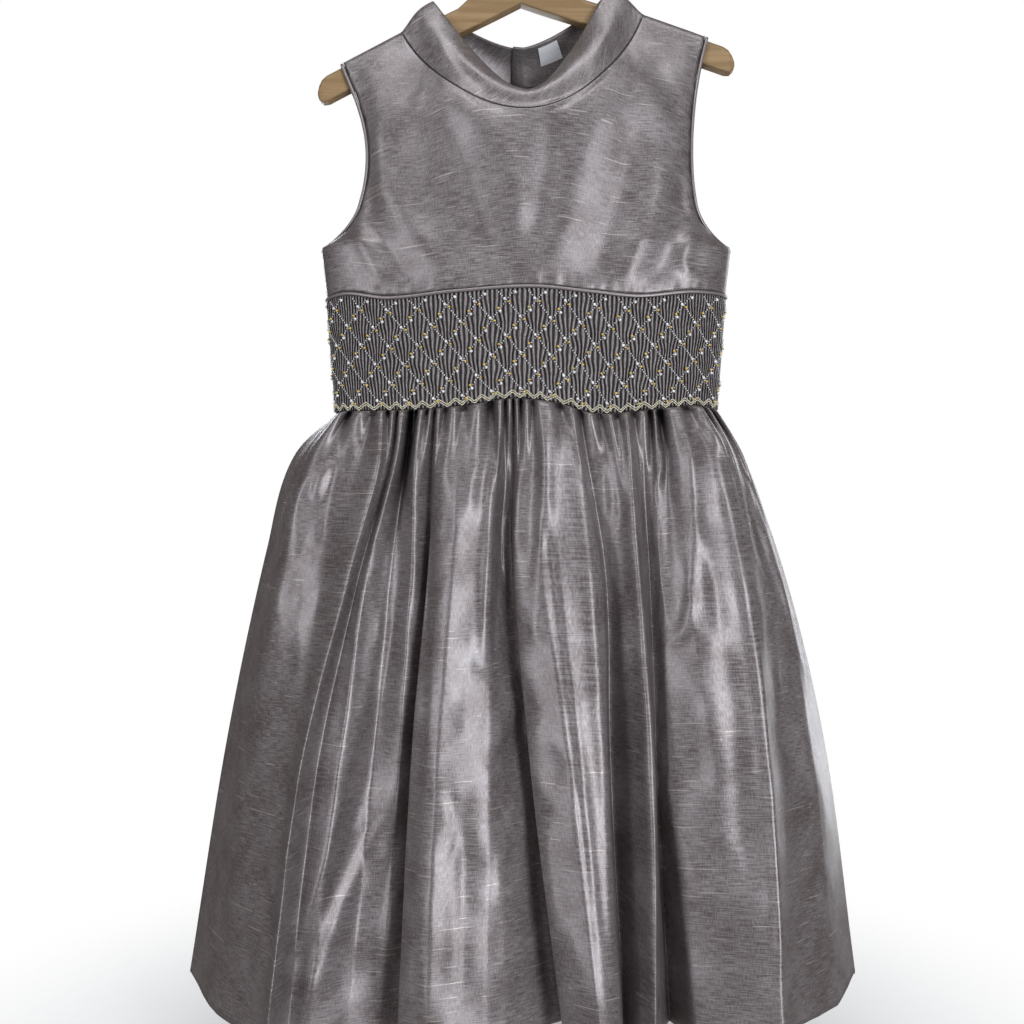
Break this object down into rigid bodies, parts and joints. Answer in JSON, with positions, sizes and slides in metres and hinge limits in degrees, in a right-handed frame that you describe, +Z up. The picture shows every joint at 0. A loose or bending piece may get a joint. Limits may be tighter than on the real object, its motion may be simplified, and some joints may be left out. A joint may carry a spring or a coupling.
{
  "type": "smocked dress on hanger",
  "caption": "Girl's sleeveless dress with a funnel collar, smocked waist and full gathered skirt, hung on a plain wooden hanger.",
  "frame": {"origin": "the inside of the top of the hanger's hook, where a rail carries it", "axes": "+Z up, -Y towards the front of the dress, +X to the viewer's right as one faces the front"},
  "size_m": [0.532, 0.244, 0.8894],
  "materials": {
    "dupion": "slubbed silk-like dupion with a silvery sheen",
    "smocked_dupion": "fine smocked pleats, darker between them",
    "piping": "self-cloth cord",
    "covered_button": "self-covered button",
    "label_tape": "plain woven tape",
    "oiled_wood": "smooth oiled wood with straight grain",
    "plated_steel": "bright plated wire"
  },
  "bodies": {
    "root": {"bodice_front": "dupion", "bodice_back_left": "dupion", "bodice_back_right": "dupion", "collar": "dupion", "armhole_piping_left": "piping", "armhole_piping_right": "piping", "waist_piping": "piping", "smocked_band": "smocked_dupion", "skirt_front": "dupion", "skirt_back": "dupion", "label": "label_tape", "button_1": "covered_button", "button_2": "covered_button", "button_3": "covered_button", "button_4": "covered_button", "button_5": "covered_button", "hanger_wood": "oiled_wood", "hanger_hook": "plated_steel"}
  },
  "joints": []
}
